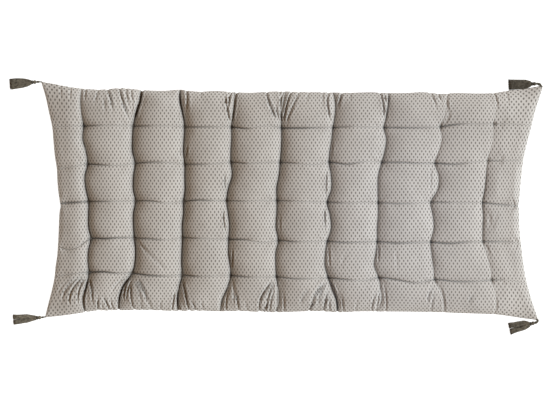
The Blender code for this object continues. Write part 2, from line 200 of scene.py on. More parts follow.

# Soft troughs listed one by one, the seams' gathers among them, in millimetres: X and Y of the outer end, the
# way from there to the middle and to the inner end, then depth and half width
TROUGHS = (
    (-728, 447, 1, -17, -3, -37, 3.0, 3.6), (-679, 443, -4, -23, -15, -50, 3.2, 3.6),
    (-644, 449, 14, -39, 21, -83, 5.4, 3.8), (-656, 418, 5, -31, 4, -65, 3.4, 4.0),
    (-597, 451, 17, -60, 37, -110, 4.6, 3.8), (-572, 449, 5, -31, 17, -69, 3.0, 3.6),
    (-552, 448, 3, -26, 12, -53, 2.6, 3.4), (-531, 422, -1, -46, -11, -84, 5.0, 3.6),
    (-340, 441, 3, -38, -5, -73, 4.2, 4.6), (-283, 437, -1, -11, -4, -27, 2.6, 3.2),
    (-179, 439, 2, -21, 7, -52, 3.0, 3.4), (-169, 433, -7, -30, -11, -61, 4.2, 3.2),
    (-1, 384, 8, -31, 20, -70, 3.6, 3.4), (17, 438, 3, -24, 4, -62, 2.8, 3.4),
    (128, 436, -5, -18, -14, -37, 3.0, 3.4), (181, 435, 0, -21, -3, -40, 2.0, 3.2),
    (256, 435, -7, -25, -17, -51, 4.8, 4.0), (289, 432, -2, -14, -4, -29, 2.2, 3.2),
    (414, 427, 7, -20, 9, -51, 4.4, 3.4), (595, 435, 9, -25, 18, -59, 2.6, 3.8),
    (661, 426, -5, -31, 5, -62, 2.0, 5.0), (667, 364, -9, -30, -28, -57, 1.4, 5.4),
    (625, 430, 3, -12, 8, -27, 3.0, 3.4), (838, 432, 7, -25, 10, -56, 2.2, 4.4),
    (886, 437, 4, -23, 3, -46, 1.8, 4.0), (-826, 462, 4, -25, 3, -52, 1.8, 4.0),
    (-786, 455, 1, -21, -1, -45, 2.0, 3.8), (-335, 230, -3, -27, -10, -58, 5.0, 3.0),
    (-364, 230, 1, -31, 11, -58, 3.2, 3.0), (-193, 130, 0, -46, 5, -88, 3.6, 2.8),
    (-193, -8, -3, -46, 12, -115, 4.6, 2.8), (-163, -158, 0, -50, -5, -100, 5.0, 2.8),
    (16, -39, 2, -31, -1, -61, 3.0, 3.2), (198, 146, -3, -62, -4, -123, 4.4, 2.8),
    (191, 0, -1, -46, 2, -100, 4.8, 2.8), (218, 245, 0, -30, -9, -69, 3.6, 2.8),
    (201, -146, 5, -46, 4, -100, 3.0, 3.4), (394, -146, 2, -35, -3, -69, 4.0, 3.0),
    (597, 149, -4, -57, 0, -126, 2.2, 3.0), (815, -27, 5, -35, -8, -69, 1.8, 6.5),
    (802, -142, 10, -27, 26, -58, 1.8, 6.0), (250, -223, 12, 23, 36, 46, 2.0, 4.6),
    (461, -166, 2, -42, 8, -88, 1.5, 4.6), (-62, -153, 23, 2, 50, 11, 1.4, 2.6),
    (827, -96, 8, 30, 25, 69, 1.6, 6.5), (934, -60, -33, 0, -71, 2, 2.6, 3.2),
    (-831, -152, 20, -13, 51, -14, 1.6, 2.8), (-811, -331, 23, 16, 46, 31, 1.8, 3.8),
    (-834, -373, 30, 23, 65, 50, 1.4, 4.4), (-678, -401, 0, 24, 4, 51, 4.6, 3.4),
    (-635, -401, -10, 28, -24, 47, 4.6, 3.4), (-660, -401, -1, 13, -4, 28, 2.6, 3.0),
    (-620, -400, -5, 19, -11, 42, 3.0, 3.4), (-477, -400, -2, 23, -7, 50, 3.4, 3.6),
    (-509, -399, -4, 18, -11, 38, 2.8, 3.2), (-440, -401, 1, 20, 5, 40, 2.4, 3.4),
    (-395, -402, 5, 37, 19, 94, 3.8, 3.4), (-362, -403, -3, 15, -8, 34, 4.0, 3.0),
    (-305, -402, -5, 18, -14, 37, 3.8, 3.2), (-276, -401, -3, 20, -8, 40, 2.0, 3.4),
    (-188, -403, 2, 38, 12, 84, 2.8, 3.4), (-157, -377, -2, 43, -9, 92, 4.4, 3.4),
    (-141, -403, -4, 38, -20, 103, 4.2, 3.9), (-106, -404, -4, 23, -8, 43, 2.2, 3.4),
    (-47, -406, 13, 22, 28, 41, 4.6, 3.2), (-48, -323, 20, 25, 44, 41, 2.6, 3.4),
    (-22, -407, 7, 46, 20, 92, 2.8, 3.2), (34, -407, 0, 30, -4, 65, 2.4, 3.8),
    (130, -403, 10, 22, 23, 42, 6.0, 3.4), (185, -404, 6, 35, 19, 89, 5.0, 3.6),
    (210, -405, -2, 28, 2, 67, 2.6, 3.2), (262, -406, -3, 29, -8, 56, 2.6, 3.6),
    (313, -318, 30, 4, 63, 27, 2.2, 2.8), (306, -404, 3, 20, 9, 43, 1.6, 3.4),
    (422, -404, 1, 46, -11, 104, 2.0, 3.6), (370, -404, 3, 35, 19, 77, 2.6, 3.4),
    (580, -373, 7, 35, 26, 77, 4.0, 3.6), (597, -407, 3, 38, 13, 88, 2.2, 3.6),
    (646, -407, -4, 46, -21, 99, 1.8, 5.0), (735, -371, 11, 19, 31, 40, 3.6, 4.2),
    (840, -415, 4, 31, -1, 69, 1.8, 5.0),
)
# Pleats that run all the way from the seam into a tuft, in the same numbers
PLEATS = (
    (-570, -373, 5, 46, 18, 92, 3.6, 3.0), (-509, -377, -10, 50, -30, 100, 3.4, 3.2),
    (136, -396, 15, 50, 53, 104, 4.4, 3.4), (94, -381, 13, 35, 36, 66, 3.0, 3.6),
    (-535, -127, 54, -56, 123, -123, 2.6, 4.4), (-834, -346, 30, 50, 102, 88, 2.4, 4.0),
    (-32, 433, 10, -46, 37, -103, 6.4, 3.7), (31, 435, -11, -51, -4, -121, 4.6, 3.2),
    (62, 436, -18, -52, -31, -122, 5.6, 3.4), (91, 435, -25, -59, -52, -121, 4.0, 3.6),
    (-193, 422, 8, -46, 21, -108, 5.4, 3.5), (-148, 434, -8, -58, -17, -120, 5.4, 3.4),
    (205, 431, -6, -40, 7, -109, 4.6, 3.4), (402, 434, 10, -43, 15, -112, 5.0, 3.6),
    (438, 427, -7, -36, -16, -105, 3.6, 3.4), (-786, -388, 11, 69, 69, 128, 5.6, 3.6),
    (-817, -369, 29, 65, 98, 112, 4.4, 3.8), (-756, -384, 8, 69, 39, 119, 4.4, 3.4),
    (-729, -407, -3, 57, 15, 134, 6.6, 3.6), (-698, -381, -3, 58, -14, 104, 4.6, 3.4),
    (-602, -400, 8, 69, 45, 131, 7.4, 3.8), (-627, -331, 27, 39, 67, 64, 3.2, 4.2),
    (-578, -373, 3, 58, 22, 100, 4.8, 3.2), (-539, -400, -11, 46, -13, 112, 4.6, 3.2),
    (-486, -384, -14, 57, -43, 107, 5.6, 4.0), (-370, -402, -5, 68, 9, 125, 6.0, 3.4),
    (-331, -402, -10, 56, -26, 121, 6.0, 3.7), (-59, -406, 8, 64, 58, 125, 7.2, 3.8),
    (-34, -404, 8, 58, 35, 119, 4.8, 3.2), (4, -407, 2, 61, 2, 126, 5.6, 3.2),
    (239, -407, -11, 76, -34, 126, 6.8, 3.6), (137, -377, 12, 35, 58, 96, 4.6, 3.6),
    (164, -388, 8, 54, 35, 103, 4.4, 3.2), (385, -405, 8, 47, 17, 109, 3.6, 3.2),
    (-511, 445, -10, -50, -29, -115, 7.0, 4.6), (-368, 441, 5, -50, 17, -127, 6.0, 3.4),
)
TROUGH_SCALE = 2.3
GATHER_SCALE = 1.35
GATHER_REACH = 1.25
TROUGH_REACH = 1.12
TROUGH_POINTS = 13
TROUGH_SPREAD = 4
TROUGH_OPENING = 0.3
TROUGH_CLOSING = 0.6
PLEAT_CLOSING = 0.2
AT_SEAM = 0.55
ON_SEAM = 0.006
RIDGE_SHARE = 0.28
RIDGE_AT = 1.9
RIDGE_WIDTH = 0.8
SEAM_SHARE = 0.7
SEAM_SPREAD = 1.3
SEAM_FADE = 0.012

# Where the side seams are drawn in to a nick: X and Y, how far in, and its half width, in millimetres
NICKS = ((-826, -4, 10.0, 7.0), (934, 2, -3.5, 7.0))
NICK_REACH = 0.018

FOLD_LINES = np.array(list(FOLDS.values()), float) * MM
ROW_LINES = np.array(list(ROWS.values()), float) * MM
CELLS_ACROSS = len(FOLD_LINES) - 1
CELLS_ALONG = len(ROW_LINES) - 1
CELL_LENGTH = 0.152
FAR = 1.0

# Where the cords pull the corners: X and Y, and how far to +X and to +Y, in millimetres
CORNER_PULLS = ((1017, 442, 5.0, 7.5), (1004, -430, 5.0, -1.0))
CORNER_PULL_REACH = 0.05

# Grid steps in a cell of the upper skin, how close they stand beside a sewn line as a share of an even step,
# and how many of them one step of the underside takes
STEPS_ACROSS = 60
STEPS_ALONG = 24
CLOSEST_ACROSS = 0.35
CLOSEST_ALONG = 0.18
UNDER_ACROSS = 2
UNDER_ALONG = 4

# Slow unevenness of the filling
LUMP_WAVES = 40
LUMP_LENGTHS = (0.05, 0.14)
LUMP_HEIGHT = 0.0006

# Cloth simulation: its grid, its cloth, and how firmly and how far around them the sewn lines hold it
SIM_ACROSS = 20
SIM_ALONG = 14
SIM_CLOSEST = 0.6
SIM_QUALITY = 6
SIM_MASS = 0.3
SIM_FRAMES = 20
SIM_MOST = 0.006
SIM_PRESSURE = 8.0
SIM_STIFFNESS = 5.0
SIM_BENDING = 0.5
FOLD_HOLD = 0.9
FOLD_HOLD_REACH = 0.009
CREASE_HOLD = 0.3
CREASE_HOLD_REACH = 0.007
TUFT_HOLD_REACH = 0.012
HOLD_LEVELS = 20


def smooth_curves(lines, place):
    """Each line read at place, on a smooth curve through its evenly spaced values."""
    last = lines.shape[1] - 1
    cell = np.minimum(place.astype(int), last - 1)
    part = place - cell
    padded = np.concatenate(
        [2 * lines[:, :1] - lines[:, 1:2], lines, 2 * lines[:, -1:] - lines[:, -2:-1]], axis=1
    )
    before, here = padded[:, cell], padded[:, cell + 1]
    after, beyond = padded[:, cell + 2], padded[:, cell + 3]
    lean_in, lean_out, rise = (after - before) / 2, (beyond - here) / 2, after - here
    bend = (3 * rise - 2 * lean_in - lean_out) * part**2 + (lean_in + lean_out - 2 * rise) * part**3
    return here + lean_in * part + bend


def smooth_step(share):
    held = np.clip(share, 0.0, 1.0)
    return held * held * (3.0 - 2.0 * held)


def rounded(way, roll):
    """A quarter circle that starts upright at the edge and is level once way passes roll."""
    left = 1.0 - np.minimum(way / roll, 1.0)
    return np.sqrt(np.maximum(0.0, 1.0 - left * left))


def line_places(cells, steps, closest):
    """Places of the grid's lines, closer together beside each sewn line than in the middle of a cell."""
    way = np.linspace(0, 1, steps // 2 + 1)
    half = (closest * way + (1 - closest) * way**2) / 2
    cell = np.concatenate([half, 1 - half[-2:0:-1]])
    return np.concatenate([start + cell for start in range(cells)] + [[cells]])


class Grid:
    """A skin of the mattress: where each point lies, and how far it is from the sewn lines around it."""

    def __init__(self, across, along):
        self.across, self.along = across, along
        self.a, self.b = np.meshgrid(across, along, indexing="ij")
        self.cell_a = np.minimum(self.a.astype(int), CELLS_ACROSS - 1)
        self.cell_b = np.minimum(self.b.astype(int), CELLS_ALONG - 1)
        self.part_a, self.part_b = self.a - self.cell_a, self.b - self.cell_b
        folds = smooth_curves(FOLD_LINES, along * LINE_PLACES)
        rows = smooth_curves(ROW_LINES, across * LINE_PLACES)
        column = np.arange(len(along))[None, :]
        row = np.arange(len(across))[:, None]
        left, right = folds[self.cell_a, column], folds[self.cell_a + 1, column]
        upper, lower = rows[self.cell_b, row], rows[self.cell_b + 1, row]
        self.x = left + (right - left) * self.part_a
        self.y = upper + (lower - upper) * self.part_b
        sewn = (
            self.cell_a > 0, self.cell_a < CELLS_ACROSS - 1,
            self.cell_b > 0, self.cell_b < CELLS_ALONG - 1,
        )
        ways = (self.x - left, right - self.x, upper - self.y, self.y - lower)
        shares = (self.part_a, 1 - self.part_a, self.part_b, 1 - self.part_b)
        ways, shares = ([np.where(*pair, FAR) for pair in zip(sewn, values)] for values in (ways, shares))
        self.left_way, self.right_way, self.upper_way, self.lower_way = ways
        self.left_share, self.right_share, self.upper_share, self.lower_share = shares
        self.near_a, self.near_b = np.minimum(*ways[:2]), np.minimum(*ways[2:])
        self.edge_a = np.minimum(self.a, CELLS_ACROSS - self.a)
        self.edge_b = np.minimum(self.b, CELLS_ALONG - self.b)
        ends = [(0, 0), (0, -1), (-1, 0), (-1, -1)]
        self.corner = np.min([np.hypot(self.x - self.x[e], self.y - self.y[e]) for e in ends], axis=0)

    def read(self, values, other):
        """Values of another grid's skin, read on this one."""
        along = np.interp(self.along, other.along, np.arange(len(other.along)))
        across = np.interp(self.across, other.across, np.arange(len(other.across)))
        return smooth_curves(smooth_curves(values, along).T, across).T

    def thinned(self, every_across, every_along):
        return Grid(self.across[::every_across], self.along[::every_along])


def fold_drop(grid):
    """The broad and the narrow drop towards the folds on both sides, and the painted shade deep in the folds.
    """
    strips = np.arange(CELLS_ALONG) + 0.5
    held = np.array(list(FOLD_STRENGTHS.values()))
    lines = np.array([np.interp(grid.along, strips, line) for line in held])
    falls = np.array(FOLD_FALLS)
    grip = np.exp(-((grid.near_b / TUFT_GRIP) ** 2))
    column = np.arange(len(grid.along))[None, :]
    broad, narrow, painted_shade = (np.zeros_like(grid.x) for _ in range(3))
    for way, share, line, on_right in (
        (grid.left_way, grid.left_share, grid.cell_a - 1, True),
        (grid.right_way, grid.right_share, grid.cell_a, False),
    ):
        held_line = np.clip(line, 0, len(lines) - 1)
        strength = lines[held_line, column]
        at_tuft = GRIP_MOST * falls[held_line]
        strength = strength + np.maximum(0.0, at_tuft - strength) * grip
        fall = falls[held_line] * (FALL_LEAST + (1 - FALL_LEAST) * strength)
        near = np.clip(1 - 2 * share, 0, 1)
        if on_right:
            shoulder = FOLD_SHOULDER * np.exp(-way / FOLD_SHOULDER_REACH)
            broad += fall * (FOLD_FALL_RIGHT * near**2 + shoulder)
            left_over = FOLD_DEPTH - FOLD_FALL_RIGHT - FOLD_SHOULDER
        else:
            broad += fall * FOLD_FALL_LEFT * smooth_step(near)
            left_over = FOLD_DEPTH - FOLD_FALL_LEFT
        narrow += left_over * strength * np.exp(-way / NARROW_FOLD_REACH)
        painted_shade = np.maximum(painted_shade, strength * np.exp(-way / PAINTED_SHADE_FOLD_REACH))
    return broad, narrow, painted_shade


def crease_drop(grid):
    """The broad and the narrow drop towards the creases above and below, and the painted shade deep in them.
    """
    table = np.array(list(CREASES.values()))
    broad, narrow, painted_shade = (np.zeros_like(grid.x) for _ in range(3))
    for way, share, line in (
        (grid.upper_way, grid.upper_share, grid.cell_b - 1),
        (grid.lower_way, grid.lower_share, grid.cell_b),
    ):
        held = table[np.clip(line, 0, len(table) - 1), grid.cell_a]
        from_left, reach, to_right = np.moveaxis(held, -1, 0)
        fading = 1 - smooth_step((grid.part_a - CREASE_KEPT * reach) / (CREASE_FADE * reach))
        rising = 1 - smooth_step((1 - grid.part_a) / CREASE_RISE)
        strength = np.maximum(CREASE_LEAST, np.maximum(from_left * fading, to_right * rising))
        near = np.clip(1 - 2 * share, 0, 1)
        broad += BROAD_CREASE * (BROAD_LEAST + (1 - BROAD_LEAST) * strength) * near**2
        narrow += NARROW_CREASE * strength * np.exp(-way / NARROW_CREASE_REACH)
        painted_shade = np.maximum(painted_shade, PAINTED_SHADE_CREASE * strength * np.exp(-way / NARROW_CREASE_REACH))
    return broad, narrow, painted_shade


def lumps(grid):
    """Slow unevenness of the filling: many long waves in all directions."""
    draw = random.Random(7)
    height = np.zeros_like(grid.x)
    for _ in range(LUMP_WAVES):
        turn, length = draw.uniform(0, math.tau), draw.uniform(*LUMP_LENGTHS)
        start = draw.uniform(0, math.tau)
        way = grid.x * math.cos(turn) + grid.y * math.sin(turn)
        height += np.sin(math.tau * way / length + start)
    return height * LUMP_HEIGHT / math.sqrt(LUMP_WAVES / 2)


def skin_heights(grid):
    """Heights of the upper skin and the underside, and the upper skin's fullness and painted shade."""
    near_corner = np.clip(grid.corner / EAR_REACH, 0, 1)
    ear = np.where(grid.x < 0, near_corner * (2 - near_corner), smooth_step(near_corner))
    seam = CORNER_HEIGHT + (SEAM_HEIGHT - CORNER_HEIGHT) * ear
    slope = np.where(grid.x < 0, END_SLOPE, RIGHT_END_SLOPE)
    end = END_ROUNDNESS * rounded(grid.edge_a, END_ROLL)
    end += (1 - END_ROUNDNESS) * smooth_step(grid.edge_a / slope)
    full = end * rounded(grid.edge_b, TOP_ROLL) * (EAR_THINNEST + (1 - EAR_THINNEST) * ear)
    from_tuft = np.hypot(grid.near_a, grid.near_b)
    tuft = TUFT_DEPTH * np.exp(-((from_tuft / TUFT_REACH) ** 2))
    tuft += TUFT_PULL * np.exp(-from_tuft / TUFT_PULL_REACH)
    held = np.interp(grid.a, np.arange(1, CELLS_ACROSS), FOLD_FALLS)
    tuft *= TUFT_LEAST + (1 - TUFT_LEAST) * held
    broad, narrow, painted_shade = (fold + crease for fold, crease in zip(fold_drop(grid), crease_drop(grid)))
    # Painted shade also darkens the cloth's colour round each tuft.
    painted_shade = painted_shade + held**2 * np.exp(-((from_tuft / PAINTED_SHADE_TUFT_REACH) ** 2))
    painted_shade = np.minimum(1.0, painted_shade * ear * smooth_step(full / PAINTED_SHADE_FULLNESS))
    top = seam + (CROWN_HEIGHT - broad - tuft + lumps(grid) - seam) * full
    top -= narrow * ear * (AT_SEAM + (1 - AT_SEAM) * full)
    share_a = np.minimum(grid.left_share, grid.right_share)
    share_b = np.minimum(grid.upper_share, grid.lower_share)
    under = UNDER_FOLD * np.clip(1 - share_a / UNDER_FOLD_SHARE, 0, 1) ** UNDER_POWER
    under += UNDER_CREASE * np.clip(1 - share_b / UNDER_CREASE_SHARE, 0, 1) ** UNDER_POWER
    roll = rounded(grid.edge_a, UNDER_ROLL) * rounded(grid.edge_b, UNDER_ROLL)
    return top, seam + (under - seam) * roll, full, painted_shade


def curve_through(points, count):
    """Points of the curve from the first point, past the second half way, to the third."""
    start, middle, end = (np.array(point) for point in points)
    bend = 2 * middle - (start + end) / 2
    way = np.linspace(0, 1, count)[:, None]
    return (1 - way) ** 2 * start + 2 * way * (1 - way) * bend + way**2 * end


def nearest_on_line(x, y, line):
    """How far each point is from the line, and at what share of the line it is nearest."""
    best, place = np.full(len(x), 1.0), np.zeros(len(x))
    for step, (start, end) in enumerate(zip(line, line[1:])):
        way = end - start
        share = np.clip(((x - start[0]) * way[0] + (y - start[1]) * way[1]) / way.dot(way), 0, 1)
        from_line = np.hypot(x - start[0] - share * way[0], y - start[1] - share * way[1])
        closer = from_line < best
        best[closer] = from_line[closer]
        place[closer] = (step + share[closer]) / (len(line) - 1)
    return best, place


def trough_field(grid):
    """How far the troughs lower the upper skin, and how far they draw its seam inwards."""
    low = np.zeros_like(grid.x)
    inwards = np.zeros_like(grid.x)
    for trough in TROUGHS + PLEATS:
        x0, y0, *ways, depth, half_width = trough
        rows = smooth_curves(ROW_LINES, np.interp([x0 * MM], grid.x[:, 0], grid.across) * LINE_PLACES)
        on_seam = min(abs(y0 * MM - rows[0, 0]), abs(y0 * MM - rows[-1, 0])) < ON_SEAM
        start = np.array((x0, y0))
        pleat = trough in PLEATS
        longer = 1.0 if pleat else GATHER_REACH if on_seam else TROUGH_REACH
        middle, end = (start + np.array(way) * longer for way in (ways[:2], ways[2:]))
        line = curve_through([start * MM, middle * MM, end * MM], TROUGH_POINTS)
        half_width, depth = half_width * MM, depth * MM
        reach = TROUGH_SPREAD * half_width
        near = (grid.x > line[:, 0].min() - reach) & (grid.x < line[:, 0].max() + reach)
        near &= (grid.y > line[:, 1].min() - reach) & (grid.y < line[:, 1].max() + reach)
        x, y = grid.x[near], grid.y[near]
        best, place = nearest_on_line(x, y, line)
        opening = 1.0 if on_seam else smooth_step(place / TROUGH_OPENING)
        closing = PLEAT_CLOSING if pleat else TROUGH_CLOSING
        strength = depth * opening * smooth_step((1 - place) / closing)
        strength *= GATHER_SCALE if on_seam and not pleat else 1.0
        side = best / half_width
        shape = np.exp(-side * side) - RIDGE_SHARE * np.exp(-((side - RIDGE_AT) / RIDGE_WIDTH) ** 2)
        low[near] += strength * shape
        if on_seam:
            edge = grid.edge_b[near] * CELL_LENGTH
            drawn = SEAM_SHARE * depth * np.exp(-((x - x0 * MM) / (SEAM_SPREAD * half_width)) ** 2)
            drawn *= np.exp(-edge / SEAM_FADE)
            drawn = np.where((grid.b[near] > CELLS_ALONG / 2) == (y0 < 0), drawn, 0.0)
            inwards[near] = np.maximum(inwards[near], drawn)
    return low, np.where(grid.b > CELLS_ALONG / 2, inwards, -inwards)


def hold_shares(grid):
    """How firmly each point is held: wholly at the seam and the tufts, less along the sewn lines."""
    hold = FOLD_HOLD * np.exp(-((grid.near_a / FOLD_HOLD_REACH) ** 2))
    hold += CREASE_HOLD * np.exp(-((grid.near_b / CREASE_HOLD_REACH) ** 2))
    hold += np.exp(-((np.hypot(grid.near_a, grid.near_b) / TUFT_HOLD_REACH) ** 2))
    hold = np.where((grid.edge_a < 1e-6) | (grid.edge_b < 1e-6), 1.0, hold)
    return np.clip(hold, 0, 1).reshape(-1)


def simulate(grid, top):
    """Inflates the upper skin between its pinned seam, tufts and folds. Returns how far each point moved."""
    rows, columns = grid.a.shape
    points = np.stack([grid.x, grid.y, top], axis=-1).reshape(-1, 3)
    index = np.arange(rows * columns).reshape(rows, columns)
    cloth = add_mesh("cloth_run", points, skin_faces(index))
    levels = np.round(hold_shares(grid) * HOLD_LEVELS).astype(int)
    group = cloth.vertex_groups.new(name="hold")
    for level in range(1, HOLD_LEVELS + 1):
        chosen = np.nonzero(levels == level)[0]
        if len(chosen):
            group.add(chosen.tolist(), level / HOLD_LEVELS, "REPLACE")

    modifier = cloth.modifiers.new("cloth", "CLOTH")
    settings = modifier.settings
    settings.quality = SIM_QUALITY
    settings.mass = SIM_MASS
    settings.tension_stiffness = SIM_STIFFNESS
    settings.compression_stiffness = SIM_STIFFNESS
    settings.shear_stiffness = SIM_STIFFNESS / 3
    settings.bending_stiffness = SIM_BENDING
    settings.vertex_group_mass = "hold"
    settings.pin_stiffness = 1.0
    settings.use_pressure = True
    settings.uniform_pressure_force = SIM_PRESSURE
    settings.effector_weights.gravity = 0.0
    modifier.collision_settings.use_collision = False
    modifier.point_cache.frame_start = 1
    modifier.point_cache.frame_end = SIM_FRAMES
    scene = bpy.context.scene
    for step in range(1, SIM_FRAMES + 1):
        scene.frame_set(step)
    done = cloth.evaluated_get(bpy.context.evaluated_depsgraph_get()).to_mesh()
    moved = np.zeros(len(points) * 3, np.float32)
    done.vertices.foreach_get("co", moved)
    moved = moved.reshape(-1, 3) - points
    scene.frame_set(1)
    bpy.data.objects.remove(cloth)
    length = np.linalg.norm(moved, axis=1, keepdims=True)
    print("cloth moved: mean", round(length.mean() / MM, 2), "mm, most", round(length.max() / MM, 2), "mm")
    moved *= SIM_MOST / np.maximum(SIM_MOST, length)
    return moved.reshape(rows, columns, 3)


def skin_faces(index):
    quads = np.stack([index[:-1, :-1], index[:-1, 1:], index[1:, 1:], index[1:, :-1]], axis=-1)
    return quads.reshape(-1, 4).tolist()


def under_faces(fine, index):
    """Faces of the underside. Those beside the seam take in the points of the finer upper skin."""
    rows, columns = index.shape
    faces = []
    for i in range(rows - 1):
        for j in range(columns - 1):
            face = []
            loop = [(i, j), (i + 1, j), (i + 1, j + 1), (i, j + 1)]
            for (i0, j0), (i1, j1) in zip(loop, loop[1:] + loop[:1]):
                face.append(int(index[i0, j0]))
                on_seam = (i0 == i1 and i0 in (0, rows - 1)) or (j0 == j1 and j0 in (0, columns - 1))
                if not on_seam:
                    continue
                count = UNDER_ACROSS if j0 == j1 else UNDER_ALONG
                for step in range(1, count):
                    way_i, way_j = (i1 - i0) * step, (j1 - j0) * step
                    face.append(int(fine[i0 * UNDER_ACROSS + way_i, j0 * UNDER_ALONG + way_j]))
            faces.append(face)
    return faces


def add_object(name, data):
    item = bpy.data.objects.new(name, data)
    bpy.context.collection.objects.link(item)
    return item


def add_mesh(name, points, faces, fabric=None):
    mesh = bpy.data.meshes.new(name)
    mesh.from_pydata(np.asarray(points).tolist(), [], faces)
    mesh.shade_smooth()
    if fabric is not None:
        layer = mesh.uv_layers.new(name="fabric")
        corners = np.zeros(len(mesh.loops), np.int32)
        mesh.loops.foreach_get("vertex_index", corners)
        layer.uv.foreach_set("vector", np.asarray(fabric, np.float32)[corners].reshape(-1))
    return add_object(name, mesh)


def fabric_places(grid, top):
    """The print's own coordinates: straight along the mattress, with the cloth that slopes and folds take up,
    and bent with the seams beside them."""
    across, along = np.abs(np.diff(grid.x, axis=0)), np.abs(np.diff(grid.y, axis=1))
    hidden_u = (np.hypot(across, np.diff(top, axis=0)) - across).mean(axis=1)
    hidden_v = (np.hypot(along, np.diff(top, axis=1)) - along).mean(axis=0)
    u = grid.x + np.concatenate([[0.0], np.cumsum(hidden_u)])[:, None]
    v = grid.y - np.concatenate([[0.0], np.cumsum(hidden_v)])[None, :]
    beside_side = SIDE_BEND * (1 - smooth_step(grid.edge_a))
    beside_seam = SEAM_BEND * (1 - smooth_step(grid.edge_b))
    u = u + (u.mean(axis=1, keepdims=True) - u) * beside_side
    v = v + (v.mean(axis=0, keepdims=True) - v) * beside_seam
    return np.stack([u, v], axis=-1)


def sewn_grid(steps_across, steps_along, closest_across, closest_along):
    return Grid(
        line_places(CELLS_ACROSS, steps_across, closest_across),
        line_places(CELLS_ALONG, steps_along, closest_along),
    )


def upper_skin(fine):
    """The upper skin's points, kept above the underside, and its painted shade in folds, creases and tufts.
    """
    top, under, full, painted_shade = skin_heights(fine)
    low, inwards = trough_field(fine)
    top = top - TROUGH_SCALE * low * (AT_SEAM + (1 - AT_SEAM) * full)
    points = np.stack([fine.x, fine.y + inwards, top], axis=-1)
    for x, y, drawn, half_width in NICKS:
        beside = np.exp(-(((fine.y - y * MM) / (half_width * MM)) ** 2))
        beside *= np.exp(-np.abs(fine.x - x * MM) / NICK_REACH)
        points[..., 0] += drawn * MM * beside
    for x, y, right, up in CORNER_PULLS:
        share = np.exp(-((fine.x - x * MM) ** 2 + (fine.y - y * MM) ** 2) / CORNER_PULL_REACH**2)
        points[..., 0] += right * MM * share
        points[..., 1] += up * MM * share
    sim = sewn_grid(SIM_ACROSS, SIM_ALONG, SIM_CLOSEST, SIM_CLOSEST)
    moved = simulate(sim, skin_heights(sim)[0])
    points += np.stack([fine.read(moved[..., k], sim) for k in range(3)], axis=-1)
    lowest = under + SKIN_GAP - SEAM_SAG * (1 - smooth_step(full / SAG_FULLNESS))
    points[..., 2] = np.maximum(points[..., 2], np.maximum(lowest, CORNER_HEIGHT))
    return points, painted_shade


def make_mattress():
    fine = sewn_grid(STEPS_ACROSS, STEPS_ALONG, CLOSEST_ACROSS, CLOSEST_ALONG)
    coarse = fine.thinned(UNDER_ACROSS, UNDER_ALONG)
    points, painted_shade = upper_skin(fine)

    rows, columns = fine.a.shape
    index = np.arange(rows * columns).reshape(rows, columns)
    under_index = index[::UNDER_ACROSS, ::UNDER_ALONG].copy()
    inner = under_index[1:-1, 1:-1]
    under_index[1:-1, 1:-1] = np.arange(inner.size).reshape(inner.shape) + rows * columns
    under = np.stack([coarse.x, coarse.y, skin_heights(coarse)[1]], axis=-1)[1:-1, 1:-1].reshape(-1, 3)
    faces = skin_faces(index) + under_faces(index, under_index)
    fabric = fabric_places(fine, points[..., 2])
    under_fabric = fabric[::UNDER_ACROSS, ::UNDER_ALONG][1:-1, 1:-1]
    fabric = np.concatenate([fabric.reshape(-1, 2), under_fabric.reshape(-1, 2)])
    item = add_mesh("mattress_cover", np.concatenate([points.reshape(-1, 3), under]), faces, fabric)
    # Painted shade: how far the cloth's colour is darkened deep in folds, creases and tufts, kept on the
    # points.
    shares = np.concatenate([painted_shade.reshape(-1), np.zeros(len(under))]).astype(np.float32)
    item.data.attributes.new("painted_shade", "FLOAT", "POINT").data.foreach_set("value", shares)
    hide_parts("mattress")
    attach(item, "root")
    item.data.materials.append(cloth_material())


# The print: its repeat with two dots, a dot's half sizes and rim, how much it strays, and how far it bends
# with the seams
DOT_REPEAT = (0.0153, 0.0226)
DOT_HALF = (0.0032, 0.0056)
DOT_RIM = (0.40, 1.15)
PRINT_LEAN = 0.0022
PRINT_DRIFT = 0.010
SIDE_BEND = 0.6
SEAM_BEND = 0.8
GROUND_COLOUR = (0.528, 0.512, 0.480)
DOT_COLOUR = (0.140, 0.130, 0.116)


def add_node(tree, kind, inputs=None, **settings):
    made = tree.nodes.new(kind)
    for name, value in settings.items():
        setattr(made, name, value)
    for name, value in (inputs or {}).items():
        if isinstance(value, bpy.types.NodeSocket):
            tree.links.new(value, made.inputs[name])
        else:
            made.inputs[name].default_value = value
    return made


def vector_math(tree, operation, first, second=None):
    """One step of arithmetic on vectors, where SCALE takes a plain number second."""
    inputs = {0: first}
    if second is not None:
        inputs["Scale" if operation == "SCALE" else 1] = second
    outputs = add_node(tree, "ShaderNodeVectorMath", inputs, operation=operation).outputs
    return outputs["Value" if operation == "LENGTH" else 0]


def noise(tree, place, scale, detail):
    return add_node(tree, "ShaderNodeTexNoise", {"Vector": place, "Scale": scale, "Detail": detail}).outputs


def ranged(tree, value, old, new, **settings):
    """The value brought from the old range to the new one."""
    inputs = {0: value, 1: old[0], 2: old[1], 3: new[0], 4: new[1]}
    return add_node(tree, "ShaderNodeMapRange", inputs, **settings).outputs[0]


def dot_distance(tree, spot, shift):
    """The way from the nearest dot's middle, 1 at its rim, in one of the two lattices of the stagger."""
    part = vector_math(tree, "FRACTION", vector_math(tree, "ADD", spot, (shift, shift, 0)))
    centred = vector_math(tree, "SUBTRACT", part, (0.5, 0.5, 0))
    size = (DOT_REPEAT[0] / DOT_HALF[0], DOT_REPEAT[1] / DOT_HALF[1], 0)
    return vector_math(tree, "LENGTH", vector_math(tree, "MULTIPLY", centred, size))


def new_material(name, roughness):
    material = bpy.data.materials.new(name)
    material.use_nodes = True
    tree = material.node_tree
    shader = tree.nodes["Principled BSDF"]
    shader.inputs["Roughness"].default_value = roughness
    shader.inputs["Specular IOR Level"].default_value = 0.15
    return material, tree, shader


